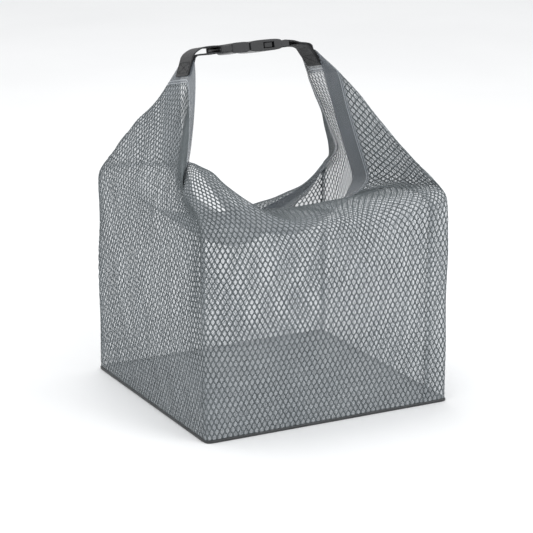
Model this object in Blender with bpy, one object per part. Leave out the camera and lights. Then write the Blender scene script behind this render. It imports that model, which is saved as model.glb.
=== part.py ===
"""Mesh laundry bag: netted film tote whose two side peaks meet in a side-release buckle.

Frame: metres, +Z up, origin at the middle of the base, front towards -Y.
The plug of the buckle is on the -X side and the socket on the +X side.
"""
import math

import bmesh
import bpy
import numpy as np
from mathutils import Matrix, Vector

# ---- bag body
WIDTH = 0.240            # outside, along X
DEPTH = 0.230            # outside, along Y
SHOULDER = 0.196         # height where the walls stop being upright
FABRIC = 0.326           # length of the panels from base to hem
CORNER = 0.018           # radius of the upright corners
FILM = 0.0010            # thickness of netted film
HEM = 0.026              # width of the plain band at the mouth
GAP = 0.0003             # air between touching pieces
WELT = 0.0024            # section of the strip round the base
BULGE = 0.004            # how far filled walls bow outwards

# ---- peaks and mouth
LEFT_PEAK = Vector((-0.080, 0.0, 0.311))
RIGHT_PEAK = Vector((0.040, 0.0, 0.309))
PEAK_HALF = 0.016        # half the flat top of a peak, along Y
LEFT_HEM_CORNER = Vector((-0.096, 0.032, 0.222))    # |y|: the same front and back
RIGHT_HEM_CORNER = Vector((0.070, 0.034, 0.212))
FRONT_SAG = 0.012        # drop of the front crease at its middle
BACK_SAG = 0.050
RIDGE_Y = 0.074          # where a folded wall turns down into the bag
FRONT_RIDGE_Z = 0.188
BACK_RIDGE_Z = 0.147
HEM_Y = 0.060            # the hanging hem at the middle
FRONT_HEM_Z = 0.100
BACK_HEM_Z = 0.070
ROLL = math.radians(-13)   # turn of both peaks, the webbing and the buckle about X: front edge up
ROLL_FROM = 0.235        # height at which the walls begin to turn
ROLL_RISE = 0.060

# ---- grid of the soft surface
STEPS_OUTER = 7          # cells from a panel's edge to the flat of its peak
STEPS_TOP = 4            # cells across that flat
STEPS_WIDE = 2 * STEPS_OUTER + STEPS_TOP
STEPS_HIGH = 20          # cells from base to hem band
STEPS_HEM = 2
CRISP_ABOVE = 0.060      # height over the shoulder at which folds are no longer rounded

# ---- webbing
WEB_WIDTH = 0.025
WEB = 0.0013
WEB_TAIL = 0.015         # sewn length on a peak

# ---- buckle
BUCKLE_Z = 0.3172
MOUTH_X = -0.0265        # plane where the socket begins
HOUSING = (0.0310, 0.0320, 0.0100)     # length, width, height of the socket shell
CAVITY = (0.0260, 0.0262, 0.0058)
WINDOW_X = (-0.0137, -0.0029)          # release windows in the side walls
BAR_RADIUS = 0.0019
SOCKET_BAR_X = 0.0097
PLUG_BAR_X = -0.0525
PLUG_BODY_X = (-0.0445, -0.0273)
PRONG_ROOT = (-0.0257, 0.0070)         # x and |y| of a prong's flexing root
PRONG_HEIGHT = 0.0046
TONGUE = (0.0170, 0.0052, 0.0034)


def clear_scene():
    """Remove every object."""
    for obj in list(bpy.data.objects):
        bpy.data.objects.remove(obj, do_unlink=True)


def finish_material(name, colour, roughness, metallic=0.0, alpha=1.0):
    """Principled material of one colour."""
    material = bpy.data.materials.new(name)
    material.use_nodes = True
    shader = material.node_tree.nodes["Principled BSDF"]
    shader.inputs["Base Color"].default_value = (*colour, 1.0)
    shader.inputs["Roughness"].default_value = roughness
    shader.inputs["Metallic"].default_value = metallic
    shader.inputs["Alpha"].default_value = alpha
    return material


def add_object(name, vertices, faces, material=None):
    """Object from plain vertex and face lists."""
    mesh = bpy.data.meshes.new(name)
    mesh.from_pydata([tuple(v) for v in vertices], [], faces)
    if material:
        mesh.materials.append(material)
    obj = bpy.data.objects.new(name, mesh)
    bpy.context.collection.objects.link(obj)
    return obj


def point_outwards(mesh):
    """Turn every face of a closed mesh outwards."""
    builder = bmesh.new()
    builder.from_mesh(mesh)
    bmesh.ops.recalc_face_normals(builder, faces=builder.faces)
    builder.to_mesh(mesh)
    builder.free()


# ---------------------------------------------------------------- soft surface

def lerp(a, b, t):
    """Straight blend of two arrays."""
    return a + (b - a) * t


def lean(points):
    """Space above the shoulders, sheared upwards towards the front as far as the peaks are rolled."""
    moved = np.array(points, float)
    share = np.clip((moved[..., 2] - ROLL_FROM) / ROLL_RISE, 0, 1)
    moved[..., 2] += moved[..., 1] * math.tan(ROLL) * share * share * (3 - 2 * share)
    return moved


def ear_point(sign_x, y, w):
    """Point of a side panel above the shoulder, w = 0 at the shoulder and 1 at the hem.

    The middle is a taut trapezium up to the peak. Past the fold that runs from the shoulder
    corner to the peak, the panel turns inwards as a flat triangle ending at the hem corner.
    """
    peak = LEFT_PEAK if sign_x < 0 else RIGHT_PEAK
    x = lerp(sign_x * WIDTH / 2, peak.x, w)
    z = lerp(SHOULDER, peak.z, w)
    fold = lerp(DEPTH / 2, PEAK_HALF, w)
    if abs(y) <= fold:
        return np.array((x, y, z))
    side = math.copysign(1.0, y)
    share = (abs(y) - fold) / (DEPTH / 2 - fold)
    on_fold = np.array((x, side * fold, z))
    return lerp(on_fold, seam_point(sign_x, side, w), share)


def seam_point(sign_x, sign_y, w):
    """Point of an upright seam above the shoulder; the spare length bows out and down."""
    corner = LEFT_HEM_CORNER if sign_x < 0 else RIGHT_HEM_CORNER
    start = np.array((sign_x * WIDTH / 2, sign_y * DEPTH / 2, SHOULDER))
    end = np.array((corner.x, sign_y * corner.y, corner.z))
    bow = math.sin(math.pi * w)
    return lerp(start, end, w) + np.array((-sign_x * 0.010, 0.0, 0.006)) * bow


def wall_point(sign_y, t, v):
    """Point of the front or back panel; t runs -1..1 across and v is the fabric height."""
    front = sign_y < 0
    sag = FRONT_SAG if front else BACK_SAG
    middle = 1.0 - t ** 4
    x = t * WIDTH / 2
    crease_z = SHOULDER - sag * middle
    crease = np.array((x, sign_y * DEPTH / 2, crease_z))
    if v <= crease_z:
        return np.array((x, sign_y * DEPTH / 2, v))
    ridge_z = FRONT_RIDGE_Z if front else BACK_RIDGE_Z
    hem_z = FRONT_HEM_Z if front else BACK_HEM_Z
    half = (1.0 + t) / 2
    ridge_w = 0.32
    ridge_edge = lerp(seam_point(-1, sign_y, ridge_w), seam_point(1, sign_y, ridge_w), half)
    hem_edge = lerp(seam_point(-1, sign_y, 1.0), seam_point(1, sign_y, 1.0), half)
    ridge = lerp(ridge_edge, np.array((x, sign_y * RIDGE_Y, ridge_z)), middle)
    hem = lerp(hem_edge, np.array((x * 0.9, sign_y * HEM_Y, hem_z)), 1.0 - t * t)
    share = (v - crease_z) / (FABRIC - crease_z)
    if share < ridge_w:
        return lerp(crease, ridge, share / ridge_w)
    return lerp(ridge, hem, (share - ridge_w) / (1.0 - ridge_w))


def side_point(sign_x, t, v):
    """Point of a side panel; t runs -1..1 from front to back."""
    y = t * DEPTH / 2
    if v <= SHOULDER:
        return np.array((sign_x * WIDTH / 2, y, v))
    return ear_point(sign_x, y, (v - SHOULDER) / (FABRIC - SHOULDER))


def smooth_once(points, heights):
    """One 1-2-1 average each way, base and hem kept; folds stay crisp towards the peaks."""
    share = np.clip(1 - (heights - SHOULDER) / CRISP_ABOVE, 0, 1)[None, :, None]
    ring = (np.roll(points, 1, axis=0) + 2 * points + np.roll(points, -1, axis=0)) / 4
    ring = lerp(points, ring, share)
    out = ring.copy()
    out[:, 1:-1] = (ring[:, :-2] + 2 * ring[:, 1:-1] + ring[:, 2:]) / 4
    return out


def across_stations():
    """Grid stations across a panel, -1..1, with one on each end of the peak's flat top."""
    flat = PEAK_HALF / (DEPTH / 2)
    outer = np.linspace(-1, -flat, STEPS_OUTER + 1)
    return np.concatenate((outer, np.linspace(-flat, flat, STEPS_TOP + 1)[1:-1], -outer[::-1]))


def bag_surface():
    """Middle surface of all four walls: closed round the bag, base to hem, rounded folds."""
    heights = np.linspace(WELT + GAP, FABRIC, STEPS_HIGH + STEPS_HEM + 1)
    heights[-1 - STEPS_HEM:] = np.linspace(FABRIC - HEM, FABRIC, STEPS_HEM + 1)
    heights[:-1 - STEPS_HEM] = np.linspace(WELT + GAP, FABRIC - HEM, STEPS_HIGH + 1)[:-1]
    across = across_stations()[:-1]
    columns = []
    columns += [[wall_point(-1, t, v) for v in heights] for t in across]
    columns += [[side_point(1, t, v) for v in heights] for t in across]
    columns += [[wall_point(1, -t, v) for v in heights] for t in across]
    columns += [[side_point(-1, -t, v) for v in heights] for t in across]
    grid = np.array(columns)
    for _ in range(2):
        grid = smooth_once(grid, heights)
    swell = BULGE * np.sin(np.clip(heights / SHOULDER, 0, 1) * math.pi)
    flat = grid[:, :, :2] / np.array((WIDTH / 2, DEPTH / 2))
    middle = np.clip(1 - np.abs(flat) ** 2, 0, 1)
    grid[:, :, 0] += np.sign(grid[:, :, 0]) * (np.abs(flat[:, :, 0]) > 0.9) * middle[:, :, 1] * swell
    grid[:, :, 1] += np.sign(grid[:, :, 1]) * (np.abs(flat[:, :, 1]) > 0.9) * middle[:, :, 0] * swell
    return lean(grid)


def surface_normals(grid):
    """Outward unit normals of the closed wall surface."""
    along = np.roll(grid, -1, axis=0) - np.roll(grid, 1, axis=0)
    up = np.gradient(grid, axis=1)
    normal = np.cross(along, up)
    return normal / np.linalg.norm(normal, axis=2, keepdims=True)


def thick_patch(name, grid, normals, columns, rows, material):
    """Closed solid of film over a patch of the surface, cut back by half a gap all round."""
    middle = grid[columns][:, rows].copy()
    across = normals[columns][:, rows]
    trim(middle)
    outer = middle + across * (FILM / 2)
    inner = middle - across * (FILM / 2)
    wide, high = middle.shape[:2]
    vertices = np.concatenate((outer.reshape(-1, 3), inner.reshape(-1, 3)))
    count = wide * high

    def at(i, j, layer):
        return layer * count + i * high + j

    faces = []
    for i in range(wide - 1):
        for j in range(high - 1):
            faces.append((at(i, j, 0), at(i + 1, j, 0), at(i + 1, j + 1, 0), at(i, j + 1, 0)))
            faces.append((at(i, j, 1), at(i, j + 1, 1), at(i + 1, j + 1, 1), at(i + 1, j, 1)))
    for i in range(wide - 1):
        faces.append((at(i, 0, 0), at(i, 0, 1), at(i + 1, 0, 1), at(i + 1, 0, 0)))
        faces.append((at(i, high - 1, 0), at(i + 1, high - 1, 0), at(i + 1, high - 1, 1), at(i, high - 1, 1)))
    for j in range(high - 1):
        faces.append((at(0, j, 0), at(0, j + 1, 0), at(0, j + 1, 1), at(0, j, 1)))
        faces.append((at(wide - 1, j, 0), at(wide - 1, j, 1), at(wide - 1, j + 1, 1), at(wide - 1, j + 1, 0)))
    obj = add_object(name, vertices, faces, material)
    obj.data.shade_smooth()
    return obj


def trim(middle):
    """Pull the four borders of a patch in by half a gap."""
    for edge, inside in ((0, 1), (-1, -2)):
        step = middle[inside] - middle[edge]
        middle[edge] += step / np.linalg.norm(step, axis=1, keepdims=True) * GAP
        step = middle[:, inside] - middle[:, edge]
        middle[:, edge] += step / np.linalg.norm(step, axis=1, keepdims=True) * GAP


def make_panels():
    """Four walls and the four hem bands along their upper edges."""
    netted = finish_material("netted_pvc_film", (0.30, 0.32, 0.34), 0.35, alpha=0.6)
    plain = finish_material("smoky_pvc_film", (0.20, 0.22, 0.25), 0.25, alpha=0.6)
    grid = bag_surface()
    normals = surface_normals(grid)
    total = grid.shape[0]
    for index, side in enumerate(("front", "right", "back", "left")):
        columns = (np.arange(STEPS_WIDE + 1) + index * STEPS_WIDE) % total
        label = side + "_side" if side in ("left", "right") else side
        thick_patch(label + "_panel", grid, normals, columns, slice(0, STEPS_HIGH + 1), netted)
        thick_patch(side + "_mouth_hem", grid, normals, columns, slice(STEPS_HIGH, None), plain)
    return netted


def rounded_outline(half_x, half_y, radius, per_corner=6):
    """Counter-clockwise rounded rectangle in the XY plane."""
    points = []
    for quarter, (sx, sy) in enumerate(((1, 1), (-1, 1), (-1, -1), (1, -1))):
        centre = Vector((sx * (half_x - radius), sy * (half_y - radius)))
        for k in range(per_corner + 1):
            angle = (quarter + k / per_corner) * math.pi / 2
            points.append(centre + radius * Vector((math.cos(angle), math.sin(angle))))
    return points


def make_bottom(netted):
    """Flat base sheet, and the strip welded round it."""
    inset = WELT + GAP
    plate = rounded_outline(WIDTH / 2 - inset, DEPTH / 2 - inset, CORNER - inset)
    count = len(plate)
    vertices = [(p.x, p.y, 0.0) for p in plate] + [(p.x, p.y, FILM) for p in plate]
    faces = [tuple(range(count - 1, -1, -1)), tuple(range(count, 2 * count))]
    faces += [(i, (i + 1) % count, count + (i + 1) % count, count + i) for i in range(count)]
    add_object("bottom_panel", vertices, faces, netted)

    dark = finish_material("black_pvc_strip", (0.03, 0.03, 0.035), 0.45)
    outer = rounded_outline(WIDTH / 2, DEPTH / 2, CORNER)
    inner = rounded_outline(WIDTH / 2 - WELT, DEPTH / 2 - WELT, CORNER - WELT)
    rings = [[(p.x, p.y, z) for p in ring] for ring, z in ((outer, 0), (outer, WELT), (inner, WELT), (inner, 0))]
    vertices = [v for ring in rings for v in ring]
    faces = []
    for r in range(4):
        for i in range(count):
            a = r * count + i
            b = r * count + (i + 1) % count
            c = (r + 1) % 4 * count
            faces.append((a, b, c + (i + 1) % count, c + i))
    add_object("bottom_welt", vertices, faces, dark)


# ---------------------------------------------------------------- webbing

def peak_direction(sign_x):
    """Unit slope of a side panel up to its peak, and its inward normal, both in XZ."""
    peak = LEFT_PEAK if sign_x < 0 else RIGHT_PEAK
    slope = Vector((peak.x - sign_x * WIDTH / 2, 0, peak.z - SHOULDER)).normalized()
    inward = Vector((-sign_x * slope.z, 0, sign_x * slope.x))
    return slope, inward


def wrapped(centre_x, radius, start, end, steps=14):
    """Arc round a strap bar in the XZ plane, angles in degrees from +X towards +Z."""
    points = []
    for k in range(steps + 1):
        angle = math.radians(lerp(start, end, k / steps))
        points.append(Vector((centre_x + radius * math.cos(angle), 0, BUCKLE_Z + radius * math.sin(angle))))
    return points


def band(name, path, material):
    """Webbing of constant thickness along a path in the XZ plane, as wide as WEB_WIDTH."""
    count = len(path)
    left, right = [], []
    for i, point in enumerate(path):
        ahead = path[min(i + 1, count - 1)] - path[max(i - 1, 0)]
        across = Vector((-ahead.z, 0, ahead.x)).normalized() * (WEB / 2)
        left.append(point + across)
        right.append(point - across)
    loop = left + right[::-1]
    total = len(loop)
    vertices = [(p.x, y, p.z) for y in (-WEB_WIDTH / 2, WEB_WIDTH / 2) for p in loop]
    faces = [(i, (i + 1) % total, total + (i + 1) % total, total + i) for i in range(total)]
    for i in range(count - 1):
        cap = (i, i + 1, total - 2 - i, total - 1 - i)
        faces.append(cap[::-1])
        faces.append(tuple(total + k for k in cap))
    obj = add_object(name, lean(vertices), faces, material)
    point_outwards(obj.data)
    return obj


def strap_paths():
    """Centre lines of both webbing loops."""
    wrap = BAR_RADIUS + GAP + WEB / 2
    rest = FILM / 2 + GAP + WEB / 2
    lift = 0.002
    slope, inward = peak_direction(-1)
    outer = LEFT_PEAK - inward * rest
    inner = LEFT_PEAK + inward * rest
    left = [outer - slope * WEB_TAIL, outer - slope * WEB_TAIL / 2, outer, outer + slope * lift]
    left += [Vector((-0.0780, 0, 0.3168)), Vector((-0.0715, 0, 0.3198)), Vector((-0.0625, 0, 0.3205))]
    left += wrapped(PLUG_BAR_X, wrap, 95, -95)
    left += [Vector((-0.0620, 0, 0.3145)), Vector((-0.0700, 0, 0.3142)), Vector((-0.0757, 0, 0.3138))]
    left += [inner + slope * lift, inner, inner - slope * WEB_TAIL / 2, inner - slope * WEB_TAIL]

    slope, inward = peak_direction(1)
    near = RIGHT_PEAK + inward * rest
    far = near + inward * (WEB + GAP)
    right = [near - slope * WEB_TAIL, near - slope * WEB_TAIL / 2, near, near + slope * lift]
    right += [Vector((0.0367, 0, 0.3130)), Vector((0.0345, 0, 0.3148)), Vector((0.0310, 0, 0.3158))]
    right += [Vector((0.0250, 0, 0.3168)), Vector((0.0188, 0, 0.3187))]
    right += wrapped(SOCKET_BAR_X, wrap, 80, 280)
    right += [Vector((0.0190, 0, 0.3150)), Vector((0.0250, 0, 0.3151)), Vector((0.0302, 0, 0.3143))]
    right += [Vector((0.0335, 0, 0.3128)), Vector((0.0352, 0, 0.3108)), far + slope * lift, far]
    right += [far - slope * WEB_TAIL / 2, far - slope * WEB_TAIL]
    return left, right


def make_straps():
    """Webbing loops and the bars of thread that sew them on."""
    webbing = finish_material("black_polyester_webbing", (0.012, 0.012, 0.014), 0.85)
    thread = finish_material("black_polyester_thread", (0.02, 0.02, 0.02), 0.7)
    left, right = strap_paths()
    band("left_strap", left, webbing)
    band("right_strap", right, webbing)
    rest = FILM / 2 + GAP + WEB
    for name, sign_x, peak, depth in (
        ("left_strap_stitching", -1, LEFT_PEAK, rest + GAP),
        ("right_strap_stitching", 1, RIGHT_PEAK, rest + WEB + 2 * GAP),
    ):
        slope, inward = peak_direction(sign_x)
        make_stitches(name, peak, slope, inward, depth, thread)


def make_stitches(name, peak, slope, inward, depth, material):
    """Box seam of thread, a closed rectangle lying on the inner face of a sewn tail."""
    half_wide, half_high, thread, height = 0.0105, 0.0050, 0.0008, 0.0005
    centre = peak - slope * WEB_TAIL / 2
    corners = ((-1, -1), (1, -1), (1, 1), (-1, 1))
    vertices = []
    for layer in (depth, depth + height):
        for inset in (0.0, thread):
            for a, b in corners:
                along = Vector((0, a * (half_wide - inset), 0))
                vertices.append(centre + along + slope * (b * (half_high - inset)) + inward * layer)
    faces = []
    for i in range(4):
        j = (i + 1) % 4
        faces.append((i, 4 + i, 4 + j, j))
        faces.append((8 + i, 8 + j, 12 + j, 12 + i))
        faces.append((i, j, 8 + j, 8 + i))
        faces.append((4 + i, 12 + i, 12 + j, 4 + j))
    obj = add_object(name, lean(vertices), faces, material)
    point_outwards(obj.data)


# ---------------------------------------------------------------- buckle

def box_object(name, low, high, material=None):
    """Box between two corners, its place in its mesh."""
    (x0, y0, z0), (x1, y1, z1) = low, high
    vertices = [(x, y, z) for x in (x0, x1) for y in (y0, y1) for z in (z0, z1)]
    faces = [(0, 1, 3, 2), (4, 6, 7, 5), (0, 4, 5, 1), (2, 3, 7, 6), (0, 2, 6, 4), (1, 5, 7, 3)]
    return add_object(name, vertices, faces, material)


def bar_object(name, x, radius, half_length):
    """Round strap bar along Y."""
    steps = 16
    ring = [(x + radius * math.cos(a), radius * math.sin(a)) for a in np.arange(steps) * 2 * math.pi / steps]
    vertices = [(px, y, BUCKLE_Z + pz) for y in (-half_length, half_length) for px, pz in ring]
    faces = [(i, (i + 1) % steps, steps + (i + 1) % steps, steps + i) for i in range(steps)]
    faces += [tuple(range(steps - 1, -1, -1)), tuple(range(steps, 2 * steps))]
    obj = add_object(name, vertices, faces)
    point_outwards(obj.data)
    return obj


def prism(name, outline, low, high, material=None):
    """Outline in XY raised from low to high in Z about the buckle's middle plane."""
    count = len(outline)
    vertices = [(x, y, BUCKLE_Z + z) for z in (low, high) for x, y in outline]
    faces = [(i, (i + 1) % count, count + (i + 1) % count, count + i) for i in range(count)]
    faces += [tuple(range(count - 1, -1, -1)), tuple(range(count, 2 * count))]
    obj = add_object(name, vertices, faces, material)
    point_outwards(obj.data)
    return obj


def crowned_profile(length_range, width, height, crown):
    """Side profile in XZ of a moulding whose top and bottom rise towards its middle."""
    x0, x1 = length_range
    steps = 10
    top = []
    for k in range(steps + 1):
        t = k / steps
        top.append((lerp(x0, x1, t), height / 2 - crown * (2 * t - 1) ** 4))
    return top + [(x, -z) for x, z in reversed(top)]


def crowned_shell(name, length_range, width, height, crown, material):
    """Moulding with crowned top and bottom, extruded across its width."""
    profile = crowned_profile(length_range, width, height, crown)
    count = len(profile)
    vertices = [(x, y, BUCKLE_Z + z) for y in (-width / 2, width / 2) for x, z in profile]
    faces = [(i, (i + 1) % count, count + (i + 1) % count, count + i) for i in range(count)]
    faces += [tuple(range(count - 1, -1, -1)), tuple(range(count, 2 * count))]
    obj = add_object(name, vertices, faces, material)
    point_outwards(obj.data)
    return obj


def combine(target, tool, operation):
    """Exact Boolean whose tool is a hidden guide."""
    tool.hide_render = True
    tool.display_type = "WIRE"
    modifier = target.modifiers.new(tool.name, "BOOLEAN")
    modifier.operation = operation
    modifier.solver = "EXACT"
    modifier.object = tool


def soften(obj, width=0.0005, segments=2):
    """Small moulded edge radius."""
    modifier = obj.modifiers.new("edge_radius", "BEVEL")
    modifier.width = width
    modifier.segments = segments
    modifier.limit_method = "ANGLE"
    modifier.angle_limit = math.radians(40)


def strap_frame(owner, label, bar_x, body_x):
    """Two side arms and the round bar that a webbing loop turns round, joined to a moulding."""
    reach = BAR_RADIUS + 0.0006
    outward = math.copysign(reach, bar_x - body_x)
    into_body = math.copysign(0.004, body_x - bar_x)
    half = HOUSING[1] / 2 - 0.0004
    for sign, side in ((-1, "front"), (1, "back")):
        low_x, high_x = sorted((bar_x + outward, body_x + into_body))
        low_y, high_y = sorted((sign * (WEB_WIDTH / 2 + 0.0008), sign * half))
        arm = box_object(f"{label}_arm_{side}", (low_x, low_y, BUCKLE_Z - 0.0026),
                         (high_x, high_y, BUCKLE_Z + 0.0026))
        soften(arm, 0.0006, 2)
        combine(owner, arm, "UNION")
    bar = bar_object(f"{label}_bar", bar_x, BAR_RADIUS, half - 0.0008)
    combine(owner, bar, "UNION")


def make_socket(acetal):
    """Female half: hollow crowned housing with two side windows and a strap bar."""
    length, width, height = HOUSING
    end_x = MOUTH_X + length
    depth, inside_y, inside_z = CAVITY
    socket = crowned_shell("buckle_socket", (MOUTH_X, end_x), width, height, 0.0012, acetal)
    soften(socket, 0.0008, 2)
    cut = box_object("socket_cavity", (MOUTH_X - 0.002, -inside_y / 2, BUCKLE_Z - inside_z / 2),
                     (MOUTH_X + depth, inside_y / 2, BUCKLE_Z + inside_z / 2))
    combine(socket, cut, "DIFFERENCE")
    window = box_object("socket_windows", (WINDOW_X[0], -width, BUCKLE_Z - inside_z / 2 + 0.0002),
                        (WINDOW_X[1], width, BUCKLE_Z + inside_z / 2 - 0.0002))
    combine(socket, window, "DIFFERENCE")
    strap_frame(socket, "socket", SOCKET_BAR_X, end_x)
    return socket


def make_plug(acetal):
    """Male half: waisted body, strap bar and the guide tongue between the prongs."""
    x0, x1 = PLUG_BODY_X
    _, width, height = HOUSING
    plug = crowned_shell("buckle_plug", (x0, x1), width, height * 0.92, 0.0008, acetal)
    soften(plug, 0.0008, 2)
    neck = box_object("plug_neck", (x1 - 0.003, -CAVITY[1] / 2 + GAP, BUCKLE_Z - CAVITY[2] / 2 + GAP),
                      (PRONG_ROOT[0], CAVITY[1] / 2 - GAP, BUCKLE_Z + CAVITY[2] / 2 - GAP))
    combine(plug, neck, "UNION")
    tongue = box_object("plug_tongue", (x1 - 0.002, -TONGUE[1] / 2, BUCKLE_Z - TONGUE[2] / 2),
                        (x1 + TONGUE[0], TONGUE[1] / 2, BUCKLE_Z + TONGUE[2] / 2))
    soften(tongue, 0.0006, 2)
    combine(plug, tongue, "UNION")
    strap_frame(plug, "plug", PLUG_BAR_X, x0)
    return plug


def prong_outline(sign):
    """Plan outline of one latch arm about its root: a thin arm that ends in a barbed finger pad."""
    gap = 2 * GAP
    inner = ((0.0, -0.0014), (0.0100, -0.0006), (0.0140, 0.0012), (0.0205, 0.0030))
    outer = ((0.0218, 0.0048), (0.0205, 0.0080), (0.0130, 0.0076), (0.0128, 0.0052),
             (0.0100, 0.0030), (0.0, 0.0014))
    return [(gap + x, sign * y) for x, y in inner + outer]


def make_prongs(acetal):
    """The two springy latch arms, each turning about its own root."""
    for sign, name in ((-1, "prong_front"), (1, "prong_back")):
        prong = prism(name, prong_outline(sign), -PRONG_HEIGHT / 2, PRONG_HEIGHT / 2, acetal)
        root = Vector((PRONG_ROOT[0], sign * PRONG_ROOT[1], BUCKLE_Z))
        prong.data.transform(Matrix.Translation((0, 0, -BUCKLE_Z)))
        prong.location = root
        soften(prong, 0.0004, 2)


def roll_buckle(before):
    """Hang every moulding and its cutters on one empty, turned about the buckle's long axis.

    before holds the names of the objects that are not part of the buckle.
    """
    pivot = bpy.data.objects.new("buckle_roll", None)
    bpy.context.collection.objects.link(pivot)
    pivot.location = (0, 0, BUCKLE_Z)
    pivot.rotation_euler = (ROLL, 0, 0)
    for obj in bpy.data.objects:
        if obj.name in before or obj == pivot:
            continue
        obj.parent = pivot
        obj.matrix_parent_inverse = Matrix.Translation((0, 0, -BUCKLE_Z))


def main():
    """Build every piece of the bag."""
    clear_scene()
    netted = make_panels()
    make_bottom(netted)
    make_straps()
    acetal = finish_material("black_acetal", (0.02, 0.021, 0.023), 0.38)
    before = {obj.name for obj in bpy.data.objects}
    make_socket(acetal)
    make_plug(acetal)
    make_prongs(acetal)
    roll_buckle(before)


main()
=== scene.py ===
"""Mesh laundry bag, dressed: netted film walls, smoky mouth bands, webbing and a side-release buckle.

Lengths of the soft surface are in millimetres until a mesh is made. A place on the cloth has two flat
coordinates: "around", the distance along the base seam from the front left corner, counter-clockwise
seen from above, and "up", the distance from the base seam towards the mouth.
"""
import logging
import math
from dataclasses import dataclass, field
from enum import Enum
from typing import Sequence

import bpy
import numpy as np
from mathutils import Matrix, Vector
from numpy.typing import NDArray


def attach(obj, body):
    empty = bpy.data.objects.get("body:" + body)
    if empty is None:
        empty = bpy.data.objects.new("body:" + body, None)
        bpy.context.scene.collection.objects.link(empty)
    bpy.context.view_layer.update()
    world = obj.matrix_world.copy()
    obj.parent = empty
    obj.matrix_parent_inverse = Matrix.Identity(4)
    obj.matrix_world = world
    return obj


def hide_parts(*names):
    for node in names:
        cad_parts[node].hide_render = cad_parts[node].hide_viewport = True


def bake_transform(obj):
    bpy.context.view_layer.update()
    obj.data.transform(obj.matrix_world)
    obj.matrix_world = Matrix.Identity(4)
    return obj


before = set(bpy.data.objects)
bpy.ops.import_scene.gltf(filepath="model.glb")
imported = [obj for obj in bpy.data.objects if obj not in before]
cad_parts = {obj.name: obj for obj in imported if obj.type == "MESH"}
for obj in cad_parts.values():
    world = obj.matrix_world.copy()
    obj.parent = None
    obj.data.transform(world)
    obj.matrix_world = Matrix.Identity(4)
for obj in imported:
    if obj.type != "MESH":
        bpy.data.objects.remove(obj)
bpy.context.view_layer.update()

LOG = logging.getLogger("laundry_bag")
MM = 0.001
ROLL = math.radians(-13)     # turn of the peaks, the webbing and the buckle about X: front edge up
ROLL_FROM = 235.0            # height at which the turn begins
ROLL_RISE = 60.0             # height over which it grows to the full angle
DRIFT_RANGE = (0.35, 0.65)   # part of a noise pattern that a drift of colour is spread over
GLOSS_RANGE = (0.8, 1.2)     # roughness of a finish at its smoothest and roughest patches
Array = NDArray[np.float64]
Point = tuple[float, float, float]


# ------------------------------------------------------------------ meshes

def smooth_curve(knots: Sequence[float], values: Array, at: Array) -> Array:
    """Cubic curve through values at the knots, with slopes from the neighbours on either side.

    Args:
        knots: Rising positions, one for each value.
        values: One row for each knot.
        at: Positions to read the curve at.

    Returns:
        One row for each position.
    """
    k = np.asarray(knots, float)
    slope = np.empty_like(values)
    slope[1:-1] = (values[2:] - values[:-2]) / (k[2:] - k[:-2])[:, None]
    slope[0] = (values[1] - values[0]) / (k[1] - k[0])
    slope[-1] = (values[-1] - values[-2]) / (k[-1] - k[-2])
    i = np.clip(np.searchsorted(k, at, side="right") - 1, 0, len(k) - 2)
    span = (k[i + 1] - k[i])[:, None]
    t = ((at - k[i]) / (k[i + 1] - k[i]))[:, None]
    start = (1 + 2 * t) * (1 - t) ** 2 * values[i] + t * (1 - t) ** 2 * span * slope[i]
    end = t * t * (3 - 2 * t) * values[i + 1] + t * t * (t - 1) * span * slope[i + 1]
    return start + end


def ease(t: Array) -> Array:
    """Smooth step: 0 below 0, 1 above 1, 3t^2 - 2t^3 between."""
    t = np.clip(t, 0, 1)
    return t * t * (3 - 2 * t)


def unit(vectors: Array) -> Array:
    """Vectors along the last axis, each of length one."""
    return vectors / np.maximum(np.linalg.norm(vectors, axis=-1, keepdims=True), 1e-9)


def grid_quads(rows: int, columns: int, wrap_rows: bool = False, wrap_columns: bool = False) -> NDArray:
    """Quads between neighbours of a rows x columns grid of points numbered row by row.

    Args:
        rows: Points along the first direction.
        columns: Points along the second direction.
        wrap_rows: Whether the last row joins the first.
        wrap_columns: Whether the last column joins the first.

    Returns:
        Corner numbers, four to a face.
    """
    i = np.arange(rows if wrap_rows else rows - 1)[:, None]
    j = np.arange(columns if wrap_columns else columns - 1)[None, :]
    i2 = (i + 1) % rows
    j2 = (j + 1) % columns
    corners = (i * columns + j, i2 * columns + j, i2 * columns + j2, i * columns + j2)
    return np.stack([c + 0 * (i + j) for c in corners], axis=-1).reshape(-1, 4)


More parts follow.
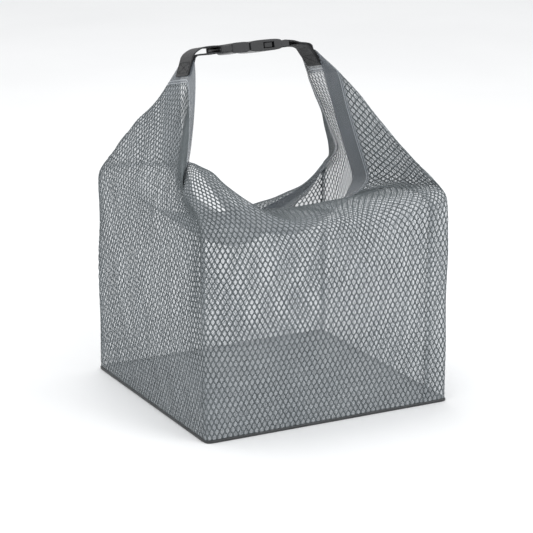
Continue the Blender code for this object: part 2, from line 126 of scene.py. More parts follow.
def make_piece(name: str, points: Array, faces: Sequence[NDArray], closed: bool = True,
               uv: Array | None = None) -> bpy.types.Object:
    """Object from points in millimetres; a closed skin is turned so that its volume is positive.

    Args:
        name: Name of the object and its mesh.
        points: Places of the vertices.
        faces: Arrays of faces, each array with its own number of corners.
        closed: Whether the faces shut in a volume.
        uv: Flat coordinates of each vertex, or None.

    Returns:
        The new object, linked to the scene.
    """
    place = points.reshape(-1, 3) * MM
    if closed:
        fans = [(f[:, 0], f[:, k], f[:, k + 1]) for f in faces for k in range(1, f.shape[1] - 1)]
        volume = sum(float((place[a] * np.cross(place[b], place[c])).sum()) for a, b, c in fans)
        faces = [f[:, ::-1] if volume < 0 else f for f in faces]
    sizes = np.concatenate([np.full(len(f), f.shape[1]) for f in faces])
    loops = np.concatenate([f.ravel() for f in faces])
    mesh = bpy.data.meshes.new(name)
    mesh.vertices.add(len(place))
    mesh.vertices.foreach_set("co", place.ravel())
    mesh.loops.add(len(loops))
    mesh.loops.foreach_set("vertex_index", loops)
    mesh.polygons.add(len(sizes))
    mesh.polygons.foreach_set("loop_start", np.concatenate(([0], np.cumsum(sizes)[:-1])))
    mesh.polygons.foreach_set("use_smooth", np.ones(len(sizes), bool))
    if uv is not None:
        layer = mesh.uv_layers.new(name="cloth")
        layer.data.foreach_set("uv", uv.reshape(-1, 2)[loops].ravel())
    mesh.update(calc_edges=True)
    mesh.validate()
    obj = bpy.data.objects.new(name, mesh)
    bpy.context.scene.collection.objects.link(obj)
    return obj


def flat_caps(rings: int, ring: int) -> list[NDArray]:
    """Quads that shut both ends of a tube whose ring of an even number of points is a mirrored pair.

    Args:
        rings: Rings along the tube.
        ring: Points of each ring, an even number.

    Returns:
        The quads of the first end and of the last end.
    """
    k = np.arange(ring // 2 - 1)
    cap = np.stack((k, k + 1, ring - 2 - k, ring - 1 - k), axis=-1)
    return [cap[:, ::-1], cap + (rings - 1) * ring]


# ------------------------------------------------------------------ finishes

def linear(colour: str) -> tuple[float, float, float, float]:
    """Linear RGBA of an sRGB hex colour such as "#3C4142"."""
    channels = [int(colour[k:k + 2], 16) / 255 for k in (1, 3, 5)]
    return (*[c / 12.92 if c <= 0.04045 else ((c + 0.055) / 1.055) ** 2.4 for c in channels], 1.0)


def add_node(tree: bpy.types.NodeTree, kind: str, inputs: dict[str | int, object] | None = None,
             **settings: object) -> bpy.types.Node:
    """Node with its settings and its inputs, each of which is a value or a socket to link from.

    Args:
        tree: Node tree that the node is added to.
        kind: Type name of the node.
        inputs: Values or sockets by the name or number of the input.
        settings: Properties of the node itself.

    Returns:
        The new node.
    """
    made = tree.nodes.new(kind)
    for key, value in settings.items():
        setattr(made, key, value)
    for key, value in (inputs or {}).items():
        if isinstance(value, bpy.types.NodeSocket):
            tree.links.new(value, made.inputs[key])
        else:
            made.inputs[key].default_value = value
    return made


class Place(Enum):
    """Coordinates that a pattern is read in."""

    OBJECT = "Object"
    CLOTH = "UV"


class Held(Enum):
    """How a sheet is held in its shape."""

    FOLDED = "folded"
    HUNG = "hung"
    LAID = "laid"


def coordinates(tree: bpy.types.NodeTree, place: Place) -> bpy.types.NodeSocket:
    """Socket of the coordinates that a pattern is read in."""
    return add_node(tree, "ShaderNodeTexCoord").outputs[place.value]


@dataclass(frozen=True)
class Finish:
    """What a surface is made of: a base colour that drifts to a second one, gloss and fine relief."""

    name: str
    colour: str
    drift: str
    roughness: float
    drift_size: float = 40.0
    grain_size: float = 0.8
    grain_depth: float = 0.04
    alpha: float = 1.0
    specular: float = 0.5
    sheen: float = 0.0

    def build(self) -> bpy.types.Material:
        """Material with the drift of colour, the pattern of the finish and the grain.

        Returns:
            The new material.
        """
        material = bpy.data.materials.new(self.name)
        material.use_nodes = True
        tree = material.node_tree
        shader = tree.nodes["Principled BSDF"]
        shader.inputs["Alpha"].default_value = self.alpha
        shader.inputs["Specular IOR Level"].default_value = self.specular
        shader.inputs["Sheen Weight"].default_value = self.sheen
        place = coordinates(tree, Place.OBJECT)
        patch = add_node(tree, "ShaderNodeTexNoise",
                         {"Vector": place, "Scale": 1 / (self.drift_size * MM), "Detail": 3.0})
        share = add_node(tree, "ShaderNodeMapRange",
                         {"Value": patch.outputs["Fac"], "From Min": DRIFT_RANGE[0],
                          "From Max": DRIFT_RANGE[1]})
        colour = add_node(tree, "ShaderNodeMix",
                          {"Factor": share.outputs["Result"], 6: linear(self.colour), 7: linear(self.drift)},
                          data_type="RGBA")
        grain = add_node(tree, "ShaderNodeTexNoise",
                         {"Vector": place, "Scale": 1 / (self.grain_size * MM), "Detail": 2.0})
        gloss = add_node(tree, "ShaderNodeMapRange",
                         {"Value": patch.outputs["Fac"], "To Min": self.roughness * GLOSS_RANGE[0],
                          "To Max": self.roughness * GLOSS_RANGE[1]})
        tree.links.new(gloss.outputs["Result"], shader.inputs["Roughness"])
        colour_out, height = self.pattern(tree, colour.outputs[2], grain.outputs["Fac"])
        tree.links.new(colour_out, shader.inputs["Base Color"])
        relief = add_node(tree, "ShaderNodeBump",
                          {"Height": height, "Distance": self.grain_depth * MM, "Strength": 1.0})
        tree.links.new(relief.outputs["Normal"], shader.inputs["Normal"])
        return material

    def pattern(self, tree: bpy.types.NodeTree, colour: bpy.types.NodeSocket,
                height: bpy.types.NodeSocket) -> tuple[bpy.types.NodeSocket, bpy.types.NodeSocket]:
        """Colour and height after the finish's own pattern; a plain finish has none."""
        return colour, height


@dataclass(frozen=True)
class WeldedFilm(Finish):
    """Smoky film, its dark colour partly painted shade, with a double weld line along the band, drawn
    lighter where the film is pressed.
    """

    weld: str = "#B9C0C6"
    lines: tuple[float, float] = (18.6, 21.0)
    half: float = 0.45

    def pattern(self, tree: bpy.types.NodeTree, colour: bpy.types.NodeSocket,
                height: bpy.types.NodeSocket) -> tuple[bpy.types.NodeSocket, bpy.types.NodeSocket]:
        """Two thin lighter lines at fixed distances from the mouth edge.

        Args:
            tree: Node tree of the material.
            colour: Colour before the pattern.
            height: Height before the pattern.

        Returns:
            Colour and height after the pattern.
        """
        across = add_node(tree, "ShaderNodeSeparateXYZ", {0: coordinates(tree, Place.CLOTH)}).outputs["Y"]
        for line in self.lines:
            near = add_node(tree, "ShaderNodeMath", {0: across, 1: line, 2: self.half}, operation="COMPARE")
            mixed = add_node(tree, "ShaderNodeMix",
                             {"Factor": near.outputs[0], 6: colour, 7: linear(self.weld)}, data_type="RGBA")
            colour = mixed.outputs[2]
        return colour, height


@dataclass(frozen=True)
class Webbing(Finish):
    """Flat woven tape: ribs across it and yarn columns along it, from two waves on the cloth's own map; the
    low places get painted shade.
    """

    rib: float = 1.9
    column: float = 1.5
    # Near black painted shade for the grooves of the weave.
    painted_groove_shade: str = "#0E0F10"

    def pattern(self, tree: bpy.types.NodeTree, colour: bpy.types.NodeSocket,
                height: bpy.types.NodeSocket) -> tuple[bpy.types.NodeSocket, bpy.types.NodeSocket]:
        """Height is the product of a rib wave along the tape and a yarn wave across it.

        Args:
            tree: Node tree of the material.
            colour: Colour before the pattern.
            height: Height before the pattern.

        Returns:
            Colour and height after the pattern.
        """
        parts = add_node(tree, "ShaderNodeSeparateXYZ", {0: coordinates(tree, Place.CLOTH)})
        waves = []
        for axis, pitch in (("X", self.rib), ("Y", self.column)):
            turn = add_node(tree, "ShaderNodeMath", {0: parts.outputs[axis], 1: math.tau / pitch},
                            operation="MULTIPLY")
            wave = add_node(tree, "ShaderNodeMath", {0: turn.outputs[0]}, operation="SINE")
            ribs = add_node(tree, "ShaderNodeMath", {0: wave.outputs[0]}, operation="ABSOLUTE")
            waves.append(ribs.outputs[0])
        weave = add_node(tree, "ShaderNodeMath", {0: waves[0], 1: waves[1]}, operation="MULTIPLY").outputs[0]
        both = add_node(tree, "ShaderNodeMath", {0: weave, 1: height}, operation="ADD").outputs[0]
        # Painted shade: the colour goes to near black where the weave is low.
        lit = add_node(tree, "ShaderNodeMix", {"Factor": weave, 6: linear(self.painted_groove_shade), 7: colour},
                       data_type="RGBA")
        return lit.outputs[2], both


# PVC film, calendered: clear and slightly milky, glossy with a soft haze.
FILM = Finish("calendered_pvc_film", "#B0B6BB", "#C0C5C9", 0.24, drift_size=55, grain_size=5.0,
              grain_depth=0.10, alpha=0.44, specular=0.5)
# Polyester net laminated on the film: dark grey yarn with a dull coat.
NET = Finish("coated_polyester_net", "#565D60", "#656C6F", 0.48, drift_size=30, grain_size=0.9,
             grain_depth=0.05)
# Smoky PVC film folded over the edge and welded, glossier than the walls; its darkness is partly the smoky
# tint and partly painted shade.
BAND = WeldedFilm("smoky_pvc_film", "#555C63", "#646B73", 0.26, drift_size=35, grain_size=4.0,
                  grain_depth=0.08, alpha=0.55)
# Black PVC strip welded round the base.
WELT = Finish("black_pvc_strip", "#2A2C2E", "#37393B", 0.42, drift_size=20, grain_size=0.6, grain_depth=0.05)
# Woven black polyester tape, dull with a faint sheen.
TAPE = Webbing("woven_polyester_tape", "#2B2C2F", "#34363A", 0.80, grain_size=0.35, grain_depth=0.16,
               sheen=0.15)
# Twisted black polyester thread.
THREAD = Finish("twisted_polyester_thread", "#1C1D1F", "#2A2B2D", 0.60, drift_size=3, grain_size=0.3,
                grain_depth=0.05)
# Acetal, injection moulded: near black with a fine spark-eroded texture.
ACETAL = Finish("moulded_acetal", "#1D1E20", "#26272A", 0.36, drift_size=12, grain_size=0.35,
                grain_depth=0.02)
# Matt paper floor of the studio: nearly white, without gloss.
PAPER = Finish("matt_paper_floor", "#F4F5F6", "#F7F8F9", 0.90, drift_size=400, grain_size=2.0,
               grain_depth=0.02, specular=0.1)


# ------------------------------------------------------------------ the soft surface

@dataclass(frozen=True)
class Line:
    """A line across part of the bag at one height of cloth, through one point for each station."""

    up: float
    points: tuple[Point, ...]


@dataclass(frozen=True)
class FoldedPart:
    """Part of the bag whose upper cloth folds over, as lines through the same stations around."""

    stations: tuple[float, ...]
    lines: tuple[Line, ...]


FRONT = FoldedPart((0, 30, 60, 88, 120, 170, 215, 240), (
    Line(190, ((-112, -93, 186), (-91, -107, 189), (-65, -114, 187), (-36, -116, 184), (-3, -117, 182),
               (39, -117, 183), (96, -115, 189), (118, -112.5, 193))),
    Line(250, ((-117, -68, 208), (-104, -68, 222), (-85, -70, 219), (-54, -71, 188), (-24, -73, 186),
               (30, -74, 188), (84, -76, 193), (102, -77, 197))),
    Line(285, ((-112, -52, 210), (-100, -46, 228), (-80, -50, 218), (-58, -54, 189), (-38, -56, 181),
               (17, -57, 179), (66, -53, 186), (87, -49, 195))),
    Line(318, ((-105, -40, 203), (-95, -29, 228), (-79, -38, 207), (-62, -42, 180), (-43, -46, 164),
               (6, -47, 156), (52, -38, 174), (73, -27, 193))),
))
BACK = FoldedPart((470, 485, 510, 590, 660, 697, 710), (
    Line(150, ((118, 113, 149), (107, 115, 146), (82, 115, 143), (2, 115, 137), (-68, 115, 145),
               (-106, 115, 149), (-118, 113, 149))),
    Line(190, ((116, 106, 174), (104, 103, 167), (81, 95, 157), (2, 84, 138), (-68, 94, 154),
               (-107, 113, 183), (-118, 113, 192))),
    Line(250, ((108, 78, 186), (93, 72, 176), (73, 66, 157), (0, 60, 118), (-64, 64, 148),
               (-96, 76, 194), (-107, 78, 205))),
    Line(285, ((99, 52, 198), (85, 50, 187), (66, 48, 165), (-4, 49, 132), (-60, 48, 163),
               (-80, 50, 199), (-91, 51, 209))),
    Line(318, ((90, 30, 206), (76, 33, 194), (56, 38, 174), (-8, 43, 152), (-54, 38, 174),
               (-66, 33, 201), (-73, 31, 210))),
))
LEFT_FRONT = FoldedPart((838, 852, 865, 890, 915, 940), (
    Line(190, ((-121, -13, 190), (-121, -28, 190), (-122, -41, 189), (-121, -63, 188), (-118, -81, 187),
               FRONT.lines[0].points[0])),
    Line(250, ((-101.3, -13, 247), (-103, -24, 243), (-106, -35, 236), (-112, -52, 223), (-116, -63, 213),
               FRONT.lines[1].points[0])),
    Line(285, ((-90.5, -13, 280), (-92, -19, 272), (-95, -27, 261), (-101, -39, 240), (-108, -48, 222),
               FRONT.lines[2].points[0])),
    Line(318, ((-80, -13, 311), (-81, -17, 298), (-83, -21, 285), (-88, -27, 259), (-95, -33, 232),
               FRONT.lines[3].points[0])),
))


def lean(points: Array) -> Array:
    """Space sheared upwards towards the front, from nothing at the shoulders to the full roll at the peaks.

    Args:
        points: Places in millimetres, along the last axis.

    Returns:
        The places after the shear.
    """
    moved = np.array(points, float)
    moved[..., 2] += moved[..., 1] * math.tan(ROLL) * ease((moved[..., 2] - ROLL_FROM) / ROLL_RISE)
    return moved


@dataclass
class BagForm:
    """Middle surface of the cloth, as a grid of points closed round the bag."""

    width: float = 240.0
    depth: float = 230.0
    shoulder: float = 190.0
    fabric: float = 318.0
    step: float = 2.0
    bow: float = 4.0
    peak_half: float = 16.0
    left_peak: Point = (-80.0, 0.0, 311.0)
    right_peak: Point = (40.0, 0.0, 309.0)
    fold_ups: tuple[float, ...] = (165.0, 190.0, 254.0, 318.0)
    slumped_fold: tuple[float, ...] = (115.0, 76.0, 51.0, 16.0)
    corner_pull: Point = (7.0, 18.0, 0.0)
    pull_reach: float = 22.0
    pull_height: float = 120.0
    fold_radius: float = 4.0
    seat: float = 1.2
    standing_ups: tuple[float, ...] = (0.0, 55.0, 120.0, 150.0)
    corner_blend: float = 14.0
    wrinkle: float = 0.45
    wrinkle_seed: int = 4
    wrinkle_waves: int = 9
    wrinkle_turns: tuple[int, int] = (8, 34)
    wrinkle_tilt: float = 0.09
    wrinkle_fade: tuple[float, float] = (30.0, 40.0)
    around: Array = field(init=False)
    up: Array = field(init=False)
    points: Array = field(init=False)
    normals: Array = field(init=False)

    def __post_init__(self) -> None:
        """Works out the grid and its normals."""
        self.around = np.arange(0, self.girth, self.step)
        self.up = np.linspace(0, self.fabric, int(round(self.fabric / self.step)) + 1)
        self.points = self.wrinkled(self.rounded(lean(self.folded())))
        self.normals = self.normals_of(self.points)

    @property
    def girth(self) -> float:
        """Length of the base seam."""
        return 2 * (self.width + self.depth)

    def standing(self, around: Array, up: float) -> Array:
        """Upright wall: the base rectangle, bowed out as a half sine wave, one corner rolled inwards.

        Args:
            around: Positions along the base seam.
            up: Height of cloth.

        Returns:
            One point for each position.
        """
        w, d = self.width, self.depth
        side = np.clip(np.searchsorted((0, w, w + d, 2 * w + d), around, side="right") - 1, 0, 3)
        along = around - np.array((0, w, w + d, 2 * w + d))[side]
        x = np.choose(side, (along - w / 2, w / 2 + 0 * along, w / 2 - along, -w / 2 + 0 * along))
        y = np.choose(side, (-d / 2 + 0 * along, along - d / 2, d / 2 + 0 * along, d / 2 - along))
        share = 2 * along / np.array((w, d, w, d))[side] - 1
        out = self.bow * math.sin(math.pi * min(up / self.shoulder, 1.0)) * (1 - share ** 2)
        x = x + out * np.array((0, 1, 0, -1))[side]
        y = y + out * np.array((-1, 0, 1, 0))[side]
        away = np.minimum(around, self.girth - around)
        pull = np.exp(-(away / self.pull_reach) ** 2) * float(ease(np.array(up / self.pull_height)))
        flat = np.stack((x, y, np.full_like(x, up)), axis=-1)
        return flat + pull[:, None] * np.array(self.corner_pull)

    def folded_part(self, part: FoldedPart, around: Array) -> Array:
        """Cloth of a folded part: a smooth curve up each column through the standing wall and the lines.

        Args:
            part: The lines and their stations.
            around: Positions along the base seam.

        Returns:
            Points, around x up x 3.
        """
        low = [up for up in self.standing_ups if up < part.lines[0].up]
        rows = [self.standing(around, up) for up in low]
        rows += [smooth_curve(part.stations, np.array(line.points, float), around) for line in part.lines]
        knots = low + [line.up for line in part.lines]
        columns = smooth_curve(knots, np.stack(rows).reshape(len(knots), -1), self.up)
        return columns.reshape(len(self.up), -1, 3).swapaxes(0, 1)

    def gable(self, around: Array, side: int, seam_front: Array, seam_back: Array) -> Array:
        """Side wall: upright to the shoulder, then a taut trapezium up to the peak.

        Past the fold that runs from the shoulder corner to the peak, the cloth turns inwards and runs
        straight to the seam with the next wall.

        Args:
            around: Positions along the base seam.
            side: +1 for the right wall, -1 for the left wall.
            seam_front: Seam at the front edge, one point for each height of cloth.
            seam_back: Seam at the back edge.

        Returns:
            Points, around x up x 3.
        """
        half = self.depth / 2
        first = self.width if side > 0 else 2 * self.width + self.depth
        along = around - first
        y = along - half if side > 0 else half - along
        peak = self.right_peak if side > 0 else self.left_peak
        y, up = np.meshgrid(y, self.up, indexing="ij")
        rise = np.clip((up - self.shoulder) / (self.fabric - self.shoulder), 0, 1)
        out = self.bow * np.sin(np.clip(up / self.shoulder, 0, 1) * math.pi) * (1 - (y / half) ** 2)
        x = side * self.width / 2 + (peak[0] - side * self.width / 2) * rise + side * out
        z = np.where(up < self.shoulder, up, self.shoulder + (peak[2] - self.shoulder) * rise)
        fold = half + (self.peak_half - half) * rise
        if side > 0:
            slumped = smooth_curve(self.fold_ups, np.array(self.slumped_fold)[:, None], self.up)[:, 0]
            slumped = np.where(self.up < self.fold_ups[0], half, slumped)
            fold = np.where(y > 0, slumped[None], fold)
        seam = np.where((y < 0)[..., None], seam_front[None], seam_back[None])
        share = np.clip((np.abs(y) - fold) / np.maximum(half - fold, 1e-6), 0, 1) * (np.abs(y) > fold)
        on_fold = np.stack((x, np.clip(y, -fold, fold), z), axis=-1)
        cloth = on_fold + (seam - on_fold) * share[..., None]
        near = np.clip(1 - (half - np.abs(y)) / self.corner_blend, 0, 1) ** 2 * (up <= self.shoulder)
        return cloth + (seam - cloth) * near[..., None]

    def folded(self) -> Array:
        """All walls before their folds are rounded.

        Returns:
            Points, around x up x 3.
        """
        w, d = self.width, self.depth
        rows = np.array((0.0, w, w + d, 2 * w + d))
        seams = [self.folded_part(FRONT, rows[:1])[0], self.folded_part(FRONT, rows[1:2])[0],
                 self.folded_part(BACK, rows[2:3])[0], self.folded_part(BACK, rows[3:4])[0]]
        s = self.around
        left = LEFT_FRONT.stations[0]
        parts = (self.folded_part(FRONT, s[s < w]),
                 self.gable(s[(s >= w) & (s < w + d)], 1, seams[1], seams[2]),
                 self.folded_part(BACK, s[(s >= w + d) & (s < 2 * w + d)]),
                 self.gable(s[(s >= 2 * w + d) & (s < left)], -1, seams[0], seams[3]),
                 self.folded_part(LEFT_FRONT, s[s >= left]))
        return np.concatenate(parts)

    def rounded(self, points: Array) -> Array:
        """Weighted average with a bell of the fold radius, both ways; the base seam keeps its place.

        Args:
            points: Points, around x up x 3.

        Returns:
            The points with rounded folds.
        """
        reach = int(3 * self.fold_radius / self.step) + 1
        offsets = np.arange(-reach, reach + 1)
        bell = np.exp(-0.5 * (offsets * self.step / self.fold_radius) ** 2)
        bell /= bell.sum()
        out = sum(np.roll(points, o, axis=0) * b for o, b in zip(offsets, bell))
        padded = np.concatenate((2 * out[:, :1] - out[:, reach:0:-1], out,
                                 2 * out[:, -1:] - out[:, -2:-reach - 2:-1]), axis=1)
        count = out.shape[1]
        out = sum(padded[:, reach + o:reach + o + count] * b for o, b in zip(offsets, bell))
        out[..., 2] = np.maximum(out[..., 2], self.seat)
        return out

    def wrinkled(self, points: Array) -> Array:
        """Adds slow shallow ripples along the normals: a sum of sine waves of mixed directions.

        Args:
            points: Points, around x up x 3.

        Returns:
            The rippled points.
        """
        random = np.random.default_rng(self.wrinkle_seed)
        s, v = np.meshgrid(self.around, self.up, indexing="ij")
        height = np.zeros_like(s)
        for _ in range(self.wrinkle_waves):
            turns = random.integers(*self.wrinkle_turns)
            tilt = random.uniform(-self.wrinkle_tilt, self.wrinkle_tilt)
            height += np.sin(math.tau * turns * s / self.girth + tilt * v + random.uniform(0, math.tau)) / 3
        low, high = self.wrinkle_fade
        height *= self.wrinkle * ease(v / low) * ease((self.fabric - v) / high)
        return points + self.normals_of(points) * height[..., None]

    @staticmethod
    def normals_of(points: Array) -> Array:
        """Outward unit normals: the cross product of the steps around and up."""
        around = np.roll(points, -1, axis=0) - np.roll(points, 1, axis=0)
        return unit(np.cross(around, np.gradient(points, axis=1)))

    def read(self, around: Array, up: Array, lift: Array | float = 0.0) -> tuple[Array, Array]:
        """Points and normals at any flat places, blended from the four nearest grid points.

        Args:
            around: Distances along the base seam; they may run past either end.
            up: Distances up the cloth.
            lift: Distance outwards along the normal.

        Returns:
            The points, lifted, and the unit normals.
        """
        a = np.asarray(around) / self.step
        b = np.clip(np.asarray(up) / (self.up[1] - self.up[0]), 0, len(self.up) - 1.001)
        i = np.floor(a).astype(int)
        j = np.floor(b).astype(int)
        fa, fb = (a - i)[..., None], (b - j)[..., None]
        n = len(self.around)
        out = []
        for grid in (self.points, self.normals):
            low = grid[i % n, j] * (1 - fa) + grid[(i + 1) % n, j] * fa
            high = grid[i % n, j + 1] * (1 - fa) + grid[(i + 1) % n, j + 1] * fa
            out.append(low * (1 - fb) + high * fb)
        normal = unit(out[1])
        return out[0] + normal * np.asarray(lift)[..., None], normal


# ------------------------------------------------------------------ walls

@dataclass
class Wall:
    """One wall of netted film from seam to seam, with its net and its band at the mouth."""

    form: BagForm
    name: str
    start: float
    end: float
    held: Held
    lap: float = 5.0
    lap_lift: float = 0.6
    lap_fade: float = 4.0
    band: float = 22.0
    band_lift: float = 0.45
    weld_half: float = 0.4
    weld_rise: float = 0.2
    cell: tuple[float, float] = (5.05, 9.1)
    yarn: float = 0.55
    yarn_height: float = 0.42
    net_lift: float = 0.05
    net_margin: float = 0.8
    net_start: float = 1.0
    net_under_band: float = 1.0
    sway: float = 0.9
    joint: float = 0.07
    drift: float = 0.35
    drift_waves: int = 3
    drift_length: tuple[float, float] = (60.0, 160.0)
    drift_turn: tuple[float, float] = (0.01, 0.15)
    drift_start: float = 12.0
    samples_per_cell: int = 8

    @property
    def panel(self) -> str:
        """Name of the wall's node."""
        return f"{self.name}_side_panel" if self.name in ("left", "right") else f"{self.name}_panel"

    def lift_at(self, around: Array) -> Array:
        """How far the lap stands off the wall that it covers, fading out past the seam."""
        return self.lap_lift * ease((self.start + self.lap_fade - around) / self.lap_fade)

    def make_film(self) -> bpy.types.Object:
        """Film of the wall: the bag's surface between the seams, one layer.

        Returns:
            The film's object.
        """
        count = int(round((self.end - self.start + self.lap) / self.form.step)) + 1
        s, v = np.meshgrid(np.linspace(self.start - self.lap, self.end, count), self.form.up, indexing="ij")
        points, _ = self.form.read(s, v, self.lift_at(s))
        uv = np.stack((s, v), axis=-1) * MM
        name = self.panel.replace("panel", "film")
        return make_piece(name, points, [grid_quads(*s.shape)], closed=False, uv=uv)

    def make_net(self) -> bpy.types.Object:
        """Net of the wall: yarns up the cloth, each swaying as a cosine and touching its neighbours in turn.

        A yarn at place k is at k pitches plus half a pitch times (-1)^k cos(2 pi up / cell height), with
        a little of the third harmonic to lengthen the joints. Its section is a triangle lying on the film.

        Returns:
            The net's object.
        """
        wide, high = self.cell
        first = self.start - self.lap + self.net_margin
        count = int(round((self.end - first) / (wide / 2)))
        pitch = (self.end - first) / count
        top = self.form.fabric - self.band + self.net_under_band
        cells = int(round(top / high))
        v = np.linspace(self.net_start, top, cells * self.samples_per_cell + 1)
        k = np.arange(count + 1)[:, None]
        phase = v[None] * math.tau * cells / top
        sway = (np.cos(phase) - self.joint * np.cos(3 * phase)) * (1 - 2 * (k % 2)) * pitch / 2 * self.sway
        random = np.random.default_rng(len(self.name))
        drift = sum(self.drift * np.sin(math.tau * v[None] / random.uniform(*self.drift_length)
                                        + k * random.uniform(*self.drift_turn)
                                        + random.uniform(0, math.tau)) for _ in range(self.drift_waves))
        s = first + k * pitch + sway + drift * ease(v / self.drift_start)[None]
        s = np.clip(s, self.start - self.lap, self.end)
        v = np.broadcast_to(v[None], s.shape)
        points, normal = self.form.read(s, v, self.lift_at(s) + self.net_lift)
        side = unit(np.cross(np.gradient(points, axis=1), normal))
        ring = np.stack((points - side * self.yarn, points + normal * self.yarn_height,
                         points + side * self.yarn), axis=2)
        return make_piece(f"{self.name}_net", ring, tube_faces(*s.shape, 3))

    def make_band(self) -> bpy.types.Object:
        """Band of plain film folded over the mouth edge: down the outside, round the edge and up the inside.

        The section is a list of distances from the mouth edge and from the middle of the cloth, with a
        small ridge at each weld line.

        Returns:
            The band's object.
        """
        skin = self.band_lift
        outer = [(self.band, 0.10), (self.band - 0.5, skin)]
        for weld in sorted(BAND.lines, reverse=True):
            outer += [(weld + self.weld_half, skin), (weld, skin + self.weld_rise),
                      (weld - self.weld_half, skin)]
        outer += [(12.0, skin), (6.0, skin), (1.0, skin), (-0.1, skin * 0.75), (-0.5, 0.25)]
        profile = np.array(outer + [(a, -b) for a, b in reversed(outer)])
        count = int(round((self.end - self.start + self.lap) / self.form.step)) + 1
        around = np.linspace(self.start - self.lap, self.end, count)
        s = np.broadcast_to(around[:, None], (count, len(profile)))
        depth = np.broadcast_to(profile[None, :, 0], s.shape)
        points, normal = self.form.read(s, self.form.fabric - np.maximum(depth, 0), self.lift_at(s) + 0 * s)
        below, _ = self.form.read(s, np.full(s.shape, self.form.fabric - 3.0))
        edge, _ = self.form.read(s, np.full(s.shape, self.form.fabric))
        past_edge = unit(edge - below) * np.maximum(-depth, 0)[..., None]
        points = points + normal * profile[None, :, 1:] + past_edge
        uv = np.stack((s, depth), axis=-1)
        faces = [grid_quads(count, len(profile), wrap_columns=True), *flat_caps(count, len(profile))]
        return make_piece(f"{self.name}_mouth_band", points, faces, uv=uv)

    def build(self, film: bpy.types.Material, net: bpy.types.Material, band: bpy.types.Material) -> None:
        """Args:
            film: Material of the film.
            net: Material of the net.
            band: Material of the band at the mouth.
        """
        sheet, strands, edge = self.make_film(), self.make_net(), self.make_band()
        for piece, material, slot in ((sheet, film, "netted_film"), (strands, net, "netted_film"),
                                      (edge, band, "hem_film")):
            piece.data.materials.append(material)
            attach(piece, "bag")
        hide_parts(self.panel)
        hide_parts(f"{self.name}_mouth_hem")
        LOG.info("%s wall: film, %d net faces, band", self.name, len(strands.data.polygons))


def tube_faces(tubes: int, samples: int, ring: int) -> list[NDArray]:
    """Faces of many tubes whose rings are numbered tube by tube: quads along, one polygon at each end.

    Args:
        tubes: Number of tubes.
        samples: Rings of each tube.
        ring: Points of each ring.

    Returns:
        The sides, the first ends and the last ends.
    """
    quads = grid_quads(samples, ring, wrap_columns=True)
    shift = (np.arange(tubes) * samples * ring)[:, None, None]
    sides = (quads[None] + shift).reshape(-1, 4)
    cap = np.arange(ring)
    low = cap[None, ::-1] + shift[:, 0]
    high = cap[None] + (samples - 1) * ring + shift[:, 0]
    return [sides, low, high]


# ------------------------------------------------------------------ base

